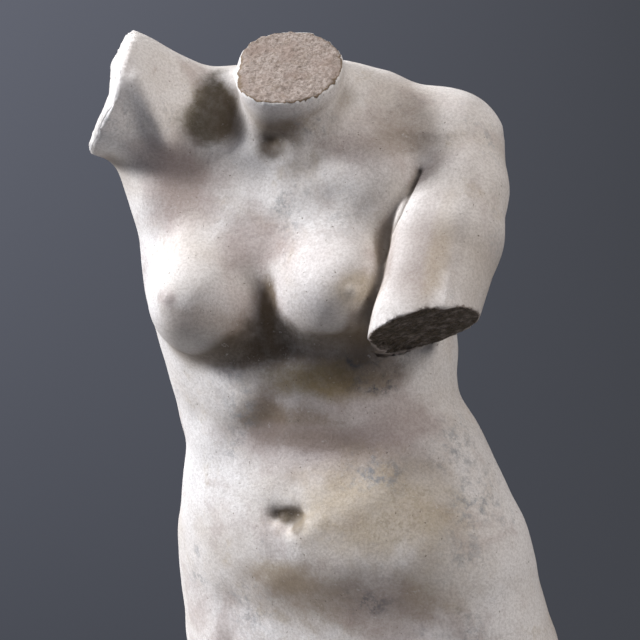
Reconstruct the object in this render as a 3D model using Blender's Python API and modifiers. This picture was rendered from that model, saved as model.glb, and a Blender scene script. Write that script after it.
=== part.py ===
"""Torso of Venus, cast after an antique fragment, standing on a low plinth.

The torso has lost its head, its right arm from the shoulder and its left arm
from above the elbow. It faces -Y, its left side is +X, and the origin is at the
middle of the plinth's underside. The torso is modelled like clay: round lumps on
an armature are fused into one skin, and the skin is then drawn onto the form.
"""

import math

import bmesh
import bpy
import numpy as np
from mathutils import Matrix, Vector

# Driving dimensions, in metres
TORSO_HEIGHT = 0.783  # from the cut of the thighs to the top of the raised shoulder
PLINTH_HEIGHT = 0.070
PLINTH_LEDGE = 0.032  # what the plinth shows round the foot of the thighs
PLINTH_BEVEL = 0.006
SEAT_GAP = 0.0003  # between the torso's flat foot and the plinth

# The figure is laid out in millimetres of a life-size pattern, above the thigh cut
PATTERN_HEIGHT = 783.0
MM = TORSO_HEIGHT / PATTERN_HEIGHT

# Mesh of the solid, in pattern millimetres
SKIN_VOXEL = 7.0
SKIN_TRIANGLES = 9000
SETTLING_PASSES = 8

# The form of the figure, as a signed distance

# The trunk, as slices from the crotch up. Each has its height, the middle of the
# slice (x, y), its reach to the figure's right, left, front and back, and the turn
# of its front towards the figure's left, in degrees.
TRUNK_SLICES = np.array(
    [
        (70, 16, 6, 120, 120, 56, 66, -11),
        (110, 17, 6, 160, 164, 66, 88, -11),
        (145, 18, 7, 180, 182, 76, 106, -11),
        (180, 20, 8, 196, 189, 86, 116, -11),
        (212, 20, 6, 196, 190, 94, 114, -11),
        (249, 14, 5, 191, 186, 101, 105, -11),
        (277, 10, 3, 185, 182, 105, 96, -10),
        (305, 8, 0, 181, 180, 106, 88, -10),
        (334, 5, -3, 171, 174, 103, 81, -8),
        (362, 0, -5, 161, 163, 96, 76, -6),
        (390, -6, -6, 150, 152, 88, 72, -3),
        (419, -17, -5, 144, 145, 87, 71, 0),
        (447, -30, -4, 137, 138, 88, 73, 3),
        (461, -34, -3, 137, 138, 89, 75, 4),
        (489, -39, -1, 141, 142, 92, 79, 5),
        (532, -46, 0, 147, 142, 93, 86, 5),
        (560, -50, 2, 148, 139, 91, 91, 5),
        (589, -53, 3, 149, 137, 87, 95, 5),
        (617, -56, 6, 155, 135, 81, 94, 5),
        (645, -59, 8, 155, 134, 73, 92, 5),
        (680, -60, 10, 140, 126, 64, 85, 5),
        (705, -60, 10, 112, 105, 52, 74, 5),
        (730, -58, 8, 76, 78, 40, 56, 5),
        (750, -56, 4, 52, 54, 36, 46, 5),
    ],
    float,
)
TRUNK_ROUNDNESS = 2.25  # 2 is an ellipse, more is squarer
TRUNK_TOP = 742.0
TRUNK_FOOT = 92.0


def slices_at(table, height):
    """Every column of a table of slices, read at each height on a smooth curve."""
    knots = table[:, 0]
    slopes = np.gradient(table, knots, axis=0)
    height = np.clip(height, knots[0], knots[-1])
    i = np.clip(np.searchsorted(knots, height) - 1, 0, len(knots) - 2)
    span = knots[i + 1] - knots[i]
    t = ((height - knots[i]) / span)[:, None]
    span = span[:, None]
    return (
        table[i] * (2 * t**3 - 3 * t**2 + 1)
        + slopes[i] * span * (t**3 - 2 * t**2 + t)
        + table[i + 1] * (3 * t**2 - 2 * t**3)
        + slopes[i + 1] * span * (t**3 - t**2)
    )


def join(a, b, fillet):
    """The union of two signed distances, with a soft fillet between them."""
    mix = np.clip(0.5 + 0.5 * (b - a) / fillet, 0.0, 1.0)
    return b * (1 - mix) + a * mix - fillet * mix * (1 - mix)


def cut(a, b, fillet):
    """What is inside both signed distances, with a rounded edge."""
    return -join(-a, -b, fillet)


def trunk(points):
    """Signed distance to the trunk, an upright loft through its slices."""
    z = points[:, 2]
    _, cx, cy, right, left, front, back, turn = slices_at(TRUNK_SLICES, z).T
    turn = np.radians(turn)
    dx, dy = points[:, 0] - cx, points[:, 1] - cy
    side = dx * np.cos(turn) + dy * np.sin(turn)
    ahead = dx * np.sin(turn) - dy * np.cos(turn)
    wide = np.where(side < 0, right, left)
    deep = np.where(ahead > 0, front, back)
    n = TRUNK_ROUNDNESS
    share = ((np.abs(side) / wide) ** n + (np.abs(ahead) / deep) ** n) ** (1 / n)
    reach = np.hypot(side, ahead)
    distance = reach - reach / np.maximum(share, 1e-3)
    distance = cut(distance, z - TRUNK_TOP, 14.0)
    return cut(distance, TRUNK_FOOT - z, 30.0)


def on_body(side, ahead, height):
    """A place given from the trunk's own middle: to its left, to its front, and up."""
    _, cx, cy, _, _, _, _, turn = slices_at(TRUNK_SLICES, np.array([height], float))[0]
    turn = math.radians(turn)
    x = cx + side * math.cos(turn) + ahead * math.sin(turn)
    y = cy + side * math.sin(turn) - ahead * math.cos(turn)
    return np.array([x, y, height])


def limb(points, path, fillet=10.0):
    """Signed distance to a round limb through (x, y, z, radius) stations."""
    distance = None
    for start, end in zip(path, path[1:]):
        a, b = np.array(start[:3], float), np.array(end[:3], float)
        along = b - a
        t = np.clip((points - a) @ along / (along @ along), 0.0, 1.0)
        radius = start[3] + (end[3] - start[3]) * t
        d = np.linalg.norm(points - a - t[:, None] * along, axis=1) - radius
        distance = d if distance is None else join(distance, d, fillet)
    return distance


def mass(points, centre, radii, turn=0.0):
    """Signed distance to an egg-shaped mass turned about Z, near enough for blending."""
    turn = math.radians(turn)
    d = points - np.asarray(centre, float)
    x = d[:, 0] * math.cos(turn) + d[:, 1] * math.sin(turn)
    y = -d[:, 0] * math.sin(turn) + d[:, 1] * math.cos(turn)
    d = np.column_stack([x, y, d[:, 2]])
    radii = np.asarray(radii, float)
    near = np.linalg.norm(d / radii, axis=1)
    steep = np.linalg.norm(d / radii**2, axis=1)
    return near * (near - 1.0) / np.maximum(steep, 1e-6)


# Limbs, as stations of x, y, z and radius
NECK = [(-59, 6, 655, 50), (-53, -17, 708, 47), (-44, -43, 750, 49), (-37, -62, 786, 50)]
LEFT_ARM = [
    (92, 36, 674, 46),
    (103, 6, 636, 45.5),
    (105, -24, 600, 48),
    (102, -86, 526, 45),
    (99, -111, 496, 43),
]
RIGHT_SHOULDER = [(-140, -5, 640, 48), (-168, -20, 693, 52), (-215, -46, 722, 56), (-246, -63, 735, 58)]
LEFT_THIGH = [(100, 2, 180, 66), (105, 2, 100, 80), (94, -4, 0, 79), (88, -8, -50, 77)]
RIGHT_THIGH = [(-66, -4, 180, 62), (-70, -10, 100, 78), (-62, -22, 0, 76), (-57, -28, -50, 75)]
LEFT_TRAPEZIUS = [(-45, 24, 722, 32), (20, 30, 712, 28), (80, 38, 687, 27)]
RIGHT_TRAPEZIUS = [(-70, 22, 716, 28), (-125, 4, 706, 24), (-190, -26, 740, 20)]

# How limbs join the trunk: the fillet between their own stretches, and the one to the trunk
LIMB_JOINTS = (
    (RIGHT_SHOULDER, 16.0, 40.0),
    (RIGHT_TRAPEZIUS, 16.0, 26.0),
    (LEFT_TRAPEZIUS, 16.0, 26.0),
    (NECK, 12.0, 22.0),
)
THIGH_SOFTNESS = 30.0
THIGH_PARTING = 8.0  # fillet between the two thighs
THIGH_FILLET = 40.0

# The left arm lies against the chest below its fold, and grows out of it above
ARM_FOLD = (650.0, 692.0)  # heights
ARM_FILLET = (7.0, 43.0)  # fillet below the fold and above it
ARM_WEB = 22.0  # more fillet where the arm's lower end meets the ribs
ARM_WEB_PLACE = (62.0, -80.0, 498.0)
ARM_WEB_REACH = 30.0

# Where limbs are lost: a point on the break and its outward direction
NECK_BREAK = ((-44, -43, 750), (0.12, -0.56, 0.82))
LEFT_ARM_BREAK = ((102, -86, 526), (0.37, -0.37, -0.85))
RIGHT_ARM_BREAK = ((-215, -46, 724), (-0.85, -0.39, 0.34))
BREAK_SPARE = 8.0  # what is left past the left arm's break for its cutter


def foot_box():
    """The lowest and highest x and y of the thighs where they are cut flat."""
    feet = [path[2] for path in (LEFT_THIGH, RIGHT_THIGH)]
    x = [x + side * radius for x, _, _, radius in feet for side in (-1, 1)]
    y = [y + side * radius for _, y, _, radius in feet for side in (-1, 1)]
    return min(x), max(x), min(y), max(y)


def on_skin(side, height, front=True):
    """The point of the trunk's skin at that distance to its left, on its front or back."""
    _, _, _, right, left, ahead, behind, _ = slices_at(TRUNK_SLICES, np.array([height], float))[0]
    share = min(abs(side) / (right if side < 0 else left), 0.98)
    depth = (1 - share**TRUNK_ROUNDNESS) ** (1 / TRUNK_ROUNDNESS)
    return on_body(side, ahead * depth if front else -behind * depth, height)


# Soft strokes on the front of the trunk, as a sculptor's thumb leaves them: points
# (side, height), then the width and the rise, or the depth where it is negative
FRONT_STROKES = {
    "notch above the breastbone": ([(3, 700), (3, 686)], 14, -7),
    "left collar bone": ([(24, 676), (60, 699), (105, 716)], 13, 2),
    "left of the upper chest": ([(50, 700), (96, 694)], 26, 4.5),
    "right collar bone": ([(-14, 674), (-50, 672), (-80, 682), (-98, 701)], 13, 3.5),
    "left pectoral": ([(35, 642), (115, 655)], 26, 3),
    "right pectoral": ([(-60, 628), (-118, 632)], 30, 2.5),
    "breastbone": ([(-8, 548), (-10, 500)], 15, -2.5),
    "handle of the breastbone": ([(20, 667), (8, 632)], 14, 2.5),
    "white line": ([(-6, 482), (-14, 440)], 18, -2),
    "right rib arch": ([(-9, 478), (-69, 429), (-111, 404)], 24, 3),
    "left rib arch": ([(3, 478), (56, 438), (109, 420)], 24, 3),
    "waist fold": ([(-100, 424), (-58, 415), (4, 408), (52, 410), (108, 432)], 18, -3.5),
    "belly": ([(-30, 322), (10, 320)], 60, 6),
    "fold left of the navel": ([(12, 338), (42, 357), (80, 378)], 17, 2),
    "under the belly": ([(-50, 258), (75, 262)], 34, -4.5),
    "right hollow of the hip": ([(-76, 280), (-86, 240), (-66, 205)], 24, -2),
    "left hollow of the hip": ([(102, 290), (104, 250), (80, 205)], 26, -3),
    "right groin": ([(-100, 206), (-62, 172), (-20, 138)], 15, -6),
    "left groin": ([(108, 212), (66, 174), (14, 138)], 15, -6),
    "navel": ([(-23, 347), (0, 350)], 7.5, -6.5),
    "foot of the navel": ([(-8, 341)], 7, -4.5),
    "lip of the navel": ([(-1, 328), (13, 335), (24, 348)], 7, 2.5),
    "round the navel": ([(-18, 351), (-2, 351)], 22, -2),
}
BACK_STROKES = {
    "furrow of the upper back": ([(0, 690), (2, 560)], 18, -6),
    "furrow of the loins": ([(2, 560), (-2, 430), (-4, 300)], 20, -8),
    "left flesh of the loins": ([(36, 480), (36, 330)], 26, 4),
    "right flesh of the loins": ([(-36, 480), (-40, 330)], 26, 4),
    "left edge of the shoulder blade": ([(48, 640), (60, 560)], 16, -4),
    "right edge of the shoulder blade": ([(-56, 660), (-70, 575)], 16, -4),
    "cleft": ([(-2, 240), (0, 100)], 14, -13),
    "left fold of the seat": ([(30, 112), (110, 118)], 16, -7),
    "right fold of the seat": ([(-30, 108), (-110, 112)], 16, -7),
}


# Broad masses on the trunk, in its own directions: side, ahead, height, radii, turn and fillet
MASSES = [
    (-76, -58, 612, (52, 42, 74), -12, 26.0),  # right shoulder blade
    (76, -58, 612, (52, 42, 74), 12, 26.0),  # left shoulder blade
    (-72, -56, 192, (76, 66, 80), 0, 24.0),  # right seat
    (72, -56, 192, (76, 66, 80), 0, 24.0),  # left seat
    (90, 4, 640, (58, 62, 62), 0, 24.0),  # left pectoral, up to the arm
]

# The breasts: how far to the left and how high their middles are, and their nipples
BREASTS = ((-66, 533, (-88, 118, 546)), (48, 551, (83, 118, 560)))
BREAST_WHOLE = (60.0, (54.0, 56.0, 53.0))  # how far ahead, and the radii
BREAST_TIP = (86.0, (31.0, 31.0, 31.0))
BREAST_ABOVE = (44.0, (48.0, 42.0, 46.0))
BREAST_RISE = 30.0  # of the last over the first
BREAST_DRAW = (0.62, 0.70)  # the tip's way to the nipple, to the side and up
BREAST_SOFTNESS = 30.0  # fillet between a breast's own lumps
BREAST_PARTING = 6.0  # fillet between the two
BREAST_FILLET = 15.0


def skin_strokes(table, front):
    """The strokes of a table with their points set on the trunk's skin."""
    return [
        ([on_skin(side, height, front) for side, height in path], width, rise)
        for path, width, rise in table.values()
    ]


# Strokes off the trunk, through plain points
LIMB_STROKES = {
    "hollow behind the right collar bone": ([(-122, -50, 742), (-110, -64, 702)], 28, -21),
    "ridge of the raised shoulder": ([(-169, -86, 737), (-150, -78, 682)], 11, 7),
    "valley of the raised shoulder": ([(-236, -122, 762), (-165, -84, 691), (-125, -92, 640)], 18, -4),
    "right edge of the chest": ([(-169, -70, 626), (-130, -90, 605)], 22, 4),
    "groove of the left shoulder": ([(48, -22, 712), (74, -40, 668)], 22, -3),
    "inner edge of the left arm": ([(79, -50, 623), (77, -84, 583), (76, -112, 549)], 15, 5),
    "flat of the left arm": ([(113, -58, 628), (111, -120, 554)], 18, -2),
    "left deltoid": ([(128, -4, 668), (122, -40, 612)], 26, 4),
}


def raised(points, strokes=None):
    """What the strokes add to the skin, all of the solid's unless others are given."""
    total = np.zeros(len(points))
    for path, width, rise in STROKES if strokes is None else strokes:
        ends = zip(path, path[1:]) if len(path) > 1 else [(path[0], path[0])]
        total += rise * np.exp(-((np.min([away(points, *pair) for pair in ends], axis=0) / width) ** 2))
    return total


def away(points, start, end):
    """Each point's distance to the straight stretch from start to end."""
    start, end = np.asarray(start, float), np.asarray(end, float)
    along = end - start
    t = np.clip((points - start) @ along / max(along @ along, 1e-9), 0.0, 1.0)
    return np.linalg.norm(points - start - t[:, None] * along, axis=1)


STROKES = [
    *skin_strokes(FRONT_STROKES, True),
    *skin_strokes(BACK_STROKES, False),
    *LIMB_STROKES.values(),
]


def beyond(points, place, outward):
    """How far the points lie past the plane of a break."""
    outward = np.array(outward, float)
    return (points - np.array(place, float)) @ (outward / np.linalg.norm(outward))


def figure(points, spare=BREAK_SPARE):
    """Signed distance to the torso before its strokes and its breaks.

    The left arm ends that much past its break, clear of the ribs below it.
    """
    body = trunk(points)
    for path, soft, fillet in LIMB_JOINTS:
        body = join(body, limb(points, path, soft), fillet)
    body = join(body, breasts(points), BREAST_FILLET)
    thighs = [limb(points, path, THIGH_SOFTNESS) for path in (LEFT_THIGH, RIGHT_THIGH)]
    body = join(body, join(*thighs, THIGH_PARTING), THIGH_FILLET)
    for side, ahead, height, radii, turn, fillet in MASSES:
        body = join(body, mass(points, on_body(side, ahead, height), radii, turn), fillet)
    tied = np.clip((points[:, 2] - ARM_FOLD[0]) / (ARM_FOLD[1] - ARM_FOLD[0]), 0.0, 1.0)
    fillet = ARM_FILLET[0] + (ARM_FILLET[1] - ARM_FILLET[0]) * tied**2
    web = np.linalg.norm(points - ARM_WEB_PLACE, axis=1) / ARM_WEB_REACH
    fillet += ARM_WEB * np.exp(-(web**2))
    arm = cut(limb(points, LEFT_ARM), beyond(points, *LEFT_ARM_BREAK) - spare, 1.0 + spare)
    return join(body, arm, fillet)


def breasts(points):
    """Signed distance to both breasts: round below, full above, drawn out to the nipples."""
    both = None
    for side, height, nipple in BREASTS:
        tip_side = side + BREAST_DRAW[0] * (nipple[0] - side)
        tip_height = height + BREAST_DRAW[1] * (nipple[2] - height)
        breast = None
        for (ahead, radii), across, up in (
            (BREAST_WHOLE, side, height),
            (BREAST_TIP, tip_side, tip_height),
            (BREAST_ABOVE, side, height + BREAST_RISE),
        ):
            lump = mass(points, on_body(across, ahead, up), radii)
            breast = lump if breast is None else join(breast, lump, BREAST_SOFTNESS)
        both = breast if both is None else join(both, breast, BREAST_PARTING)
    return both


def drawn_onto(form, relief, points, passes, longest=8.0, step=0.5):
    """The points, moved down the form's slope until they lie on it and its relief."""
    for _ in range(passes):
        base = form(points)
        slope = np.column_stack([(form(points + axis) - base) / step for axis in np.eye(3) * step])
        steep = np.maximum((slope**2).sum(axis=1), 0.05)
        move = slope * ((base - relief(points)) / steep)[:, None]
        length = np.linalg.norm(move, axis=1)
        points = points - move * np.minimum(1.0, longest / np.maximum(length, 1e-9))[:, None]
    return points


# The clay and the skin

CLAY_STEP = 20.0  # between the flat eggs up the trunk
CLAY_THICKNESS = 26.0
CLAY_BALLS = 6  # along each stretch of a limb

BREAK_CLEARANCE = 14.0  # how much wider than its limb a cutter is
CUTTER_SPAN = 1.6  # how far a cutter goes past its break, in its own radii

# The thighs' cut stands over the middle of the plinth
FOOT_LEFT, FOOT_RIGHT, FOOT_FRONT, FOOT_BACK = foot_box()
FOOT_WIDTH = FOOT_RIGHT - FOOT_LEFT
FOOT_DEPTH = FOOT_BACK - FOOT_FRONT
TORSO_PLACE = (
    -(FOOT_LEFT + FOOT_RIGHT) / 2 * MM,
    -(FOOT_FRONT + FOOT_BACK) / 2 * MM,
    PLINTH_HEIGHT + SEAT_GAP,
)


def egg(centre, radii, turn=0.0):
    """The placement of one egg of clay."""
    turning = Matrix.Rotation(math.radians(turn), 4, "Z")
    return Matrix.Translation(centre) @ turning @ Matrix.Diagonal((*radii, 1.0))


def clay_eggs():
    """Where the eggs of clay go: flat ones up the trunk and balls along every limb."""
    for height in np.arange(TRUNK_FOOT, TRUNK_TOP, CLAY_STEP):
        right, left, front, back, turn = slices_at(TRUNK_SLICES, np.array([height]))[0, 3:]
        middle = on_body((left - right) / 2, (front - back) / 2, height)
        yield egg(middle, ((right + left) / 2, (front + back) / 2, CLAY_THICKNESS), turn)
    for path in (NECK, LEFT_ARM, RIGHT_SHOULDER, LEFT_THIGH, RIGHT_THIGH, LEFT_TRAPEZIUS, RIGHT_TRAPEZIUS):
        for start, end in zip(path, path[1:]):
            for t in np.linspace(0.0, 1.0, CLAY_BALLS):
                x, y, z, radius = np.array(start) * (1 - t) + np.array(end) * t
                yield egg((x, y, z), (radius, radius, radius))
    for side, ahead, height, radii, turn, _ in MASSES:
        yield egg(on_body(side, ahead, height), radii, turn)
    for side, height, _ in BREASTS:
        ahead, radii = BREAST_WHOLE
        yield egg(on_body(side, ahead, height), radii)


def clay_mesh():
    """All the eggs of clay in one mesh."""
    ball = bmesh.new()
    bmesh.ops.create_uvsphere(ball, u_segments=24, v_segments=16, radius=1.0)
    clay, mesh = bmesh.new(), bpy.data.meshes.new("clay")
    for placement in clay_eggs():
        one = ball.copy()
        one.transform(placement)
        one.to_mesh(mesh)
        clay.from_mesh(mesh)
        one.free()
    clay.to_mesh(mesh)
    clay.free()
    ball.free()
    return mesh


def evaluated_copy(obj, name):
    """A plain mesh of what the object's modifiers make."""
    bpy.context.view_layer.update()
    graph = bpy.context.evaluated_depsgraph_get()
    mesh = bpy.data.meshes.new_from_object(obj.evaluated_get(graph))
    mesh.name = name
    return mesh


def vertices_of(mesh):
    flat = np.empty(len(mesh.vertices) * 3)
    mesh.vertices.foreach_get("co", flat)
    return flat.reshape(-1, 3)


def skin_mesh(voxel=SKIN_VOXEL, passes=SETTLING_PASSES):
    """One closed skin over the clay, drawn onto the figure, in pattern millimetres."""
    clay = bpy.data.objects.new("clay", clay_mesh())
    bpy.context.scene.collection.objects.link(clay)
    remesh = clay.modifiers.new("skin", "REMESH")
    remesh.mode = "VOXEL"
    remesh.voxel_size = voxel
    mesh = evaluated_copy(clay, "skin")
    mesh.vertices.foreach_set("co", drawn_onto(figure, raised, vertices_of(mesh), passes).ravel())
    clay.modifiers.clear()
    clay.data = mesh
    remesh = clay.modifiers.new("even_skin", "REMESH")
    remesh.mode = "VOXEL"
    remesh.voxel_size = voxel
    mesh = evaluated_copy(clay, "torso")
    mesh.vertices.foreach_set("co", drawn_onto(figure, raised, vertices_of(mesh), 4).ravel())
    bpy.data.objects.remove(clay)
    return mesh


def break_cutter(name, path, place, outward):
    """A stub round the lost end of a limb, from the break outwards."""
    start, end = Vector(path[-2][:3]), Vector(path[-1][:3])
    along = (end - start).normalized()
    radius = max(station[3] for station in path[-2:]) + BREAK_CLEARANCE
    solid = bmesh.new()
    bmesh.ops.create_cone(
        solid,
        cap_ends=True,
        segments=48,
        radius1=radius,
        radius2=radius,
        depth=2 * CUTTER_SPAN * radius,
        matrix=Matrix.Translation(place) @ along.to_track_quat("Z", "Y").to_matrix().to_4x4(),
    )
    everything = [*solid.verts, *solid.edges, *solid.faces]
    cut_edges = bmesh.ops.bisect_plane(
        solid, geom=everything, plane_co=place, plane_no=outward, clear_inner=True
    )["geom_cut"]
    rim = [item for item in cut_edges if isinstance(item, bmesh.types.BMEdge)]
    bmesh.ops.contextual_create(solid, geom=rim)
    bmesh.ops.recalc_face_normals(solid, faces=solid.faces[:])
    return as_cutter(name, solid)


def foot_cutter():
    """A block under the flat cut of the thighs."""
    solid = bmesh.new()
    width = 2 * FOOT_WIDTH
    bmesh.ops.create_cube(solid, size=width, matrix=Matrix.Translation((0.0, 0.0, -width / 2)))
    return as_cutter("foot_cutter", solid)


def as_cutter(name, solid):
    """An object that only cuts, from a solid in pattern millimetres."""
    bmesh.ops.scale(solid, vec=(MM, MM, MM), verts=solid.verts[:])
    mesh = bpy.data.meshes.new(name)
    solid.to_mesh(mesh)
    solid.free()
    cutter = bpy.data.objects.new(name, mesh)
    cutter.location = TORSO_PLACE
    cutter.hide_render = True
    cutter.display_type = "WIRE"
    return cutter


def surface(name, colour, roughness):
    """A stone surface: its colour and how matt it is."""
    material = bpy.data.materials.new(name)
    material.use_nodes = True
    shader = material.node_tree.nodes["Principled BSDF"]
    shader.inputs["Base Color"].default_value = (*colour, 1.0)
    shader.inputs["Roughness"].default_value = roughness
    shader.inputs["Metallic"].default_value = 0.0
    return material


def make_torso(parts, cutters):
    """The torso, one casting, with its limbs broken off and its thighs cut flat."""
    mesh = skin_mesh()
    mesh.vertices.foreach_set("co", (vertices_of(mesh) * MM).ravel())
    torso = bpy.data.objects.new("torso", mesh)
    torso.location = TORSO_PLACE
    parts.objects.link(torso)
    fewer = torso.modifiers.new("fewer_triangles", "DECIMATE")
    fewer.ratio = SKIN_TRIANGLES / (2 * len(mesh.polygons))
    stubs = [
        break_cutter("neck_cutter", NECK, *NECK_BREAK),
        break_cutter("left_arm_cutter", LEFT_ARM, *LEFT_ARM_BREAK),
        break_cutter("right_arm_cutter", RIGHT_SHOULDER, *RIGHT_ARM_BREAK),
        foot_cutter(),
    ]
    for cutter in stubs:
        cutters.objects.link(cutter)
        lost = torso.modifiers.new(cutter.name, "BOOLEAN")
        lost.operation = "DIFFERENCE"
        lost.solver = "EXACT"
        lost.object = cutter
    torso.data.materials.append(surface("cast_stone", (0.52, 0.49, 0.46), 0.72))
    torso.data.shade_smooth()
    return torso


def make_plinth(parts):
    """The plain low plinth, as wide and deep as the thighs plus its ledge."""
    bpy.ops.mesh.primitive_cube_add(size=1.0)
    plinth = bpy.context.object
    plinth.name = plinth.data.name = "plinth"
    for collection in list(plinth.users_collection):
        collection.objects.unlink(plinth)
    parts.objects.link(plinth)
    size = (FOOT_WIDTH * MM + 2 * PLINTH_LEDGE, FOOT_DEPTH * MM + 2 * PLINTH_LEDGE, PLINTH_HEIGHT)
    plinth.data.transform(Matrix.Diagonal((*size, 1.0)))
    plinth.location = (0.0, 0.0, PLINTH_HEIGHT / 2)
    edges = plinth.modifiers.new("worn_edges", "BEVEL")
    edges.width = PLINTH_BEVEL
    edges.segments = 3
    edges.limit_method = "ANGLE"
    plinth.data.materials.append(surface("plinth_stone", (0.42, 0.40, 0.38), 0.75))
    plinth.data.shade_smooth()
    return plinth


def main():
    for obj in list(bpy.data.objects):
        bpy.data.objects.remove(obj)
    parts = bpy.data.collections.new("venus_torso")
    cutters = bpy.data.collections.new("cutters")
    bpy.context.scene.collection.children.link(parts)
    bpy.context.scene.collection.children.link(cutters)
    make_torso(parts, cutters)
    make_plinth(parts)


main()
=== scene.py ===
"""The looks of the venus torso: its carved skin, its rough breaks, its mottled
stone and its plinth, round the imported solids. The torso's skin is drawn again, finer,
from the same form as the solid, in millimetres of a life-size pattern above the flat
cut of the thighs. The figure faces -Y and its left side is +X."""

import math

import bmesh
import bpy
import numpy as np
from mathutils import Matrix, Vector, noise


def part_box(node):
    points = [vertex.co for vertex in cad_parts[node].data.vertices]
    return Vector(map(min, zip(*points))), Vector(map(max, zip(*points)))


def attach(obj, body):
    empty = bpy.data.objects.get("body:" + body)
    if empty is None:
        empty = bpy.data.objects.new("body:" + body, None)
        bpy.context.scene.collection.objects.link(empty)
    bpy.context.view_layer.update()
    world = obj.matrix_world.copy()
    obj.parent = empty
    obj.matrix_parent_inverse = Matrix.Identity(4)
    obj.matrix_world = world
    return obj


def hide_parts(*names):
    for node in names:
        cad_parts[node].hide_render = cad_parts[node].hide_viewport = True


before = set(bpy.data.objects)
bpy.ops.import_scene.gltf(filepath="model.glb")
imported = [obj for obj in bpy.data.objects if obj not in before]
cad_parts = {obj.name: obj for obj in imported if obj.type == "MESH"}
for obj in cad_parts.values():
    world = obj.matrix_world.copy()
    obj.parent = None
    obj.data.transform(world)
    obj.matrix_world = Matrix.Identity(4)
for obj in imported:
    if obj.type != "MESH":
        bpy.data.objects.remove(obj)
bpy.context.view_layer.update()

# Mesh of the skin, in pattern millimetres
SKIN_VOXEL = 3.7
SETTLING_PASSES = 5
DETAIL_PASSES = 3

TORSO_HEIGHT = 0.783
PATTERN_HEIGHT = 783.0

# The form of the figure, as a signed distance

# The trunk, as slices from the crotch up. Each has its height, the middle of the
# slice (x, y), its reach to the figure's right, left, front and back, and the turn
# of its front towards the figure's left, in degrees.
TRUNK_SLICES = np.array(
    [
        (70, 16, 6, 120, 120, 56, 66, -11),
        (110, 17, 6, 160, 164, 66, 88, -11),
        (145, 18, 7, 180, 182, 76, 106, -11),
        (180, 20, 8, 196, 189, 86, 116, -11),
        (212, 20, 6, 196, 190, 94, 114, -11),
        (249, 14, 5, 191, 186, 101, 105, -11),
        (277, 10, 3, 185, 182, 105, 96, -10),
        (305, 8, 0, 181, 180, 106, 88, -10),
        (334, 5, -3, 171, 174, 103, 81, -8),
        (362, 0, -5, 161, 163, 96, 76, -6),
        (390, -6, -6, 150, 152, 88, 72, -3),
        (419, -17, -5, 144, 145, 87, 71, 0),
        (447, -30, -4, 137, 138, 88, 73, 3),
        (461, -34, -3, 137, 138, 89, 75, 4),
        (489, -39, -1, 141, 142, 92, 79, 5),
        (532, -46, 0, 147, 142, 93, 86, 5),
        (560, -50, 2, 148, 139, 91, 91, 5),
        (589, -53, 3, 149, 137, 87, 95, 5),
        (617, -56, 6, 155, 135, 81, 94, 5),
        (645, -59, 8, 155, 134, 73, 92, 5),
        (680, -60, 10, 140, 126, 64, 85, 5),
        (705, -60, 10, 112, 105, 52, 74, 5),
        (730, -58, 8, 76, 78, 40, 56, 5),
        (750, -56, 4, 52, 54, 36, 46, 5),
    ],
    float,
)
TRUNK_ROUNDNESS = 2.25  # 2 is an ellipse, more is squarer
TRUNK_TOP = 742.0
TRUNK_FOOT = 92.0


def slices_at(table, height):
    """Every column of a table of slices, read at each height on a smooth curve."""
    knots = table[:, 0]
    slopes = np.gradient(table, knots, axis=0)
    height = np.clip(height, knots[0], knots[-1])
    i = np.clip(np.searchsorted(knots, height) - 1, 0, len(knots) - 2)
    span = knots[i + 1] - knots[i]
    t = ((height - knots[i]) / span)[:, None]
    span = span[:, None]
    return (
        table[i] * (2 * t**3 - 3 * t**2 + 1)
        + slopes[i] * span * (t**3 - 2 * t**2 + t)
        + table[i + 1] * (3 * t**2 - 2 * t**3)
        + slopes[i + 1] * span * (t**3 - t**2)
    )


def join(a, b, fillet):
    """The union of two signed distances, with a soft fillet between them."""
    mix = np.clip(0.5 + 0.5 * (b - a) / fillet, 0.0, 1.0)
    return b * (1 - mix) + a * mix - fillet * mix * (1 - mix)


def cut(a, b, fillet):
    """What is inside both signed distances, with a rounded edge."""
    return -join(-a, -b, fillet)


def trunk(points):
    """Signed distance to the trunk, an upright loft through its slices."""
    z = points[:, 2]
    _, cx, cy, right, left, front, back, turn = slices_at(TRUNK_SLICES, z).T
    turn = np.radians(turn)
    dx, dy = points[:, 0] - cx, points[:, 1] - cy
    side = dx * np.cos(turn) + dy * np.sin(turn)
    ahead = dx * np.sin(turn) - dy * np.cos(turn)
    wide = np.where(side < 0, right, left)
    deep = np.where(ahead > 0, front, back)
    n = TRUNK_ROUNDNESS
    share = ((np.abs(side) / wide) ** n + (np.abs(ahead) / deep) ** n) ** (1 / n)
    reach = np.hypot(side, ahead)
    distance = reach - reach / np.maximum(share, 1e-3)
    distance = cut(distance, z - TRUNK_TOP, 14.0)
    return cut(distance, TRUNK_FOOT - z, 30.0)


def on_body(side, ahead, height):
    """A place given from the trunk's own middle: to its left, to its front, and up."""
    _, cx, cy, _, _, _, _, turn = slices_at(TRUNK_SLICES, np.array([height], float))[0]
    turn = math.radians(turn)
    x = cx + side * math.cos(turn) + ahead * math.sin(turn)
    y = cy + side * math.sin(turn) - ahead * math.cos(turn)
    return np.array([x, y, height])


def limb(points, path, fillet=10.0):
    """Signed distance to a round limb through (x, y, z, radius) stations."""
    distance = None
    for start, end in zip(path, path[1:]):
        a, b = np.array(start[:3], float), np.array(end[:3], float)
        along = b - a
        t = np.clip((points - a) @ along / (along @ along), 0.0, 1.0)
        radius = start[3] + (end[3] - start[3]) * t
        d = np.linalg.norm(points - a - t[:, None] * along, axis=1) - radius
        distance = d if distance is None else join(distance, d, fillet)
    return distance


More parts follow.
